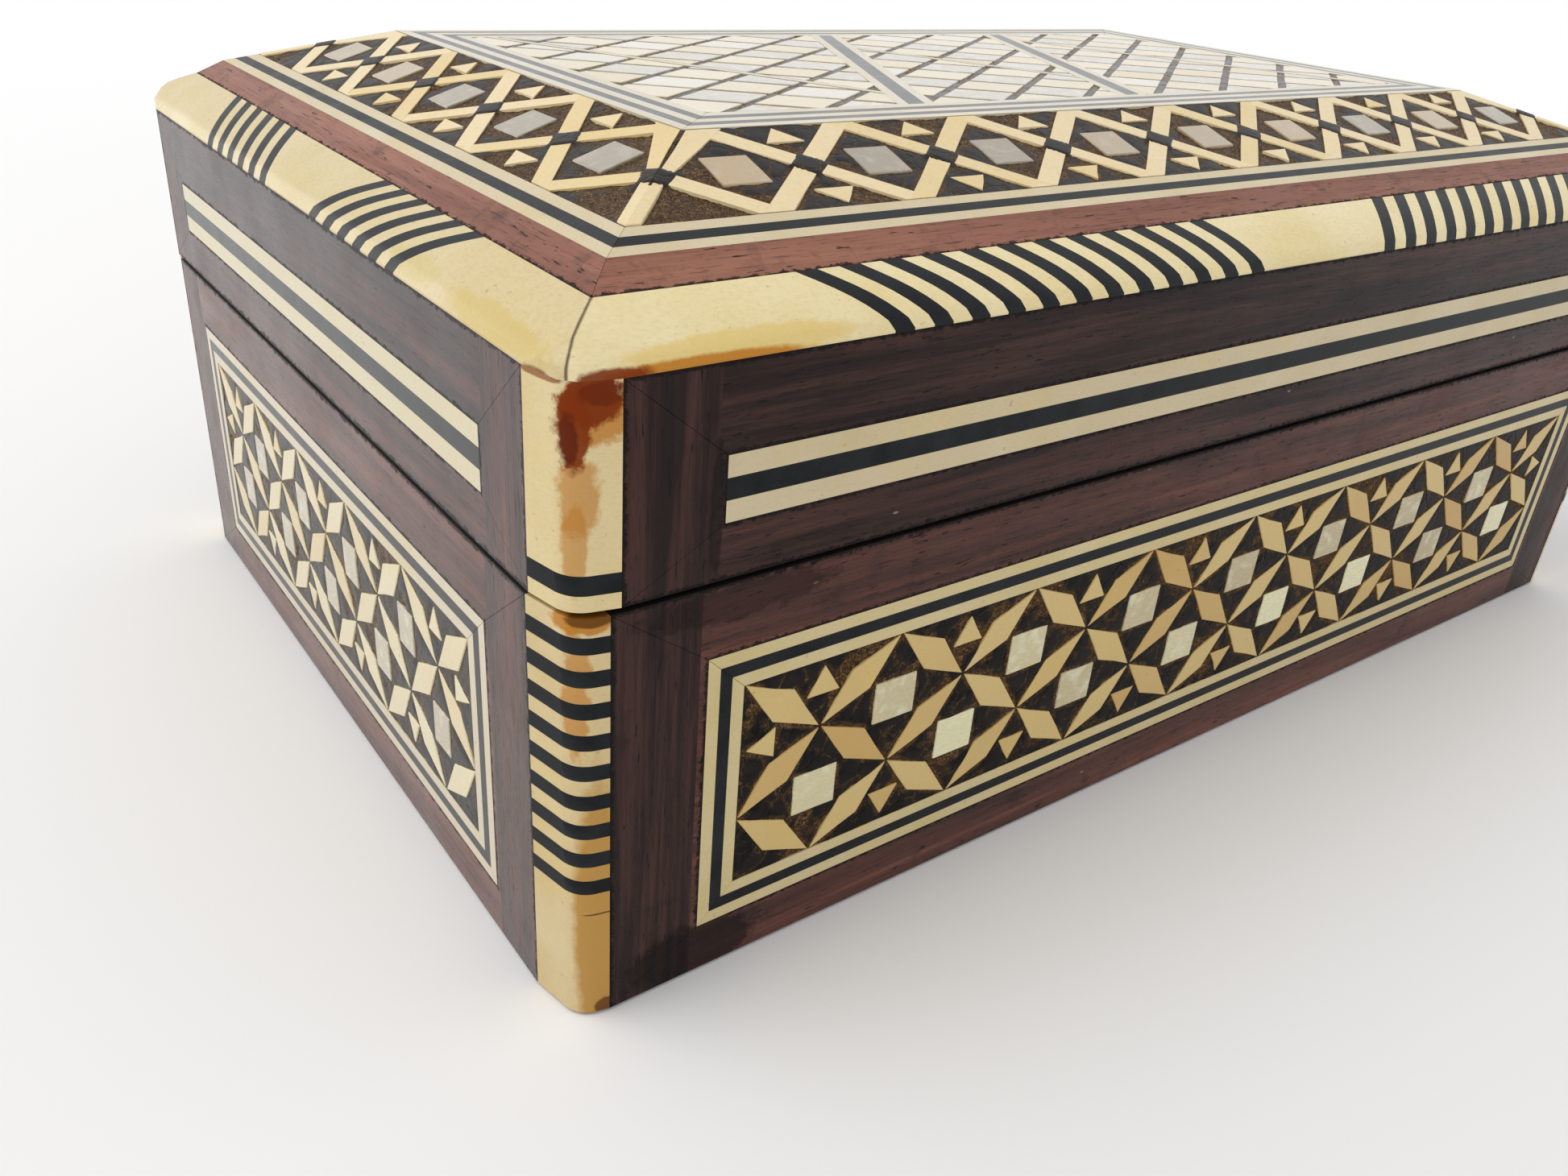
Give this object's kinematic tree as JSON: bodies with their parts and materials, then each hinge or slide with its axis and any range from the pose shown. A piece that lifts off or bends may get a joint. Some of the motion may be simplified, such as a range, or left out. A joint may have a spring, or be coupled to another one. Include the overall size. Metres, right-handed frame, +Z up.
{
  "type": "inlaid wooden box",
  "caption": "Rectangular rosewood jewellery box with mosaic inlay of bone, black lines and mother-of-pearl, banded corners and a bevelled lid on rear butt hinges.",
  "frame": {"origin": "middle of the underside, on the surface that the box stands on", "axes": "+X along the long front, +Y from the front to the hinged back, +Z up"},
  "size_m": [0.15, 0.0984, 0.0613],
  "materials": {
    "carcass_wood": "bare",
    "rosewood": "varnished",
    "bone": "polished",
    "black_inlay": "polished",
    "pearl": "polished",
    "mastic": "rough",
    "velvet": "pile",
    "brass": "aged"
  },
  "bodies": {
    "base": {"base_back_board": "carcass_wood", "base_back_bone_mosaic": "bone", "base_back_rosewood": "rosewood", "base_black_stringing": "black_inlay", "base_bone_stringing": "bone", "base_bottom_board": "carcass_wood", "base_corner_black": "black_inlay", "base_corner_bone": "bone", "base_floor_lining": "velvet", "base_front_board": "carcass_wood", "base_front_bone_mosaic": "bone", "base_front_rosewood": "rosewood", "base_left_board": "carcass_wood", "base_left_bone_mosaic": "bone", "base_left_rosewood": "rosewood", "base_mosaic_ground": "mastic", "base_pearl_mosaic": "pearl", "base_right_board": "carcass_wood", "base_right_bone_mosaic": "bone", "base_right_rosewood": "rosewood", "base_wall_lining": "velvet", "hinge_base_nails": "brass", "left_hinge_base_leaf": "brass", "right_hinge_base_leaf": "brass"},
    "lid": {"hinge_lid_nails": "brass", "left_hinge_lid_leaf": "brass", "lid_back_board": "carcass_wood", "lid_back_rosewood": "rosewood", "lid_band_bone_mosaic": "bone", "lid_band_ground": "mastic", "lid_band_pearl_mosaic": "pearl", "lid_bevel_black_stringing": "black_inlay", "lid_bevel_bone_stringing": "bone", "lid_bevel_rosewood": "rosewood", "lid_ceiling_lining": "velvet", "lid_corner_black": "black_inlay", "lid_corner_bone": "bone", "lid_edge_black": "black_inlay", "lid_edge_bone": "bone", "lid_frame_black": "black_inlay", "lid_frame_bone": "bone", "lid_front_board": "carcass_wood", "lid_front_rosewood": "rosewood", "lid_left_board": "carcass_wood", "lid_left_rosewood": "rosewood", "lid_panel_black_lines": "black_inlay", "lid_panel_bone_lines": "bone", "lid_panel_bone_mosaic": "bone", "lid_panel_ground": "mastic", "lid_panel_pearl_mosaic": "pearl", "lid_right_board": "carcass_wood", "lid_right_rosewood": "rosewood", "lid_side_black_lines": "black_inlay", "lid_side_bone_lines": "bone", "lid_top_board": "carcass_wood", "lid_wall_lining": "velvet", "right_hinge_lid_leaf": "brass"}
  },
  "joints": [
    {"name": "lid_hinge", "type": "hinge", "parent": "base", "child": "lid", "pos_m": [0, 0.04705, 0.0358], "axis": [-1, 0, 0], "range_deg": [0, 100]}
  ]
}
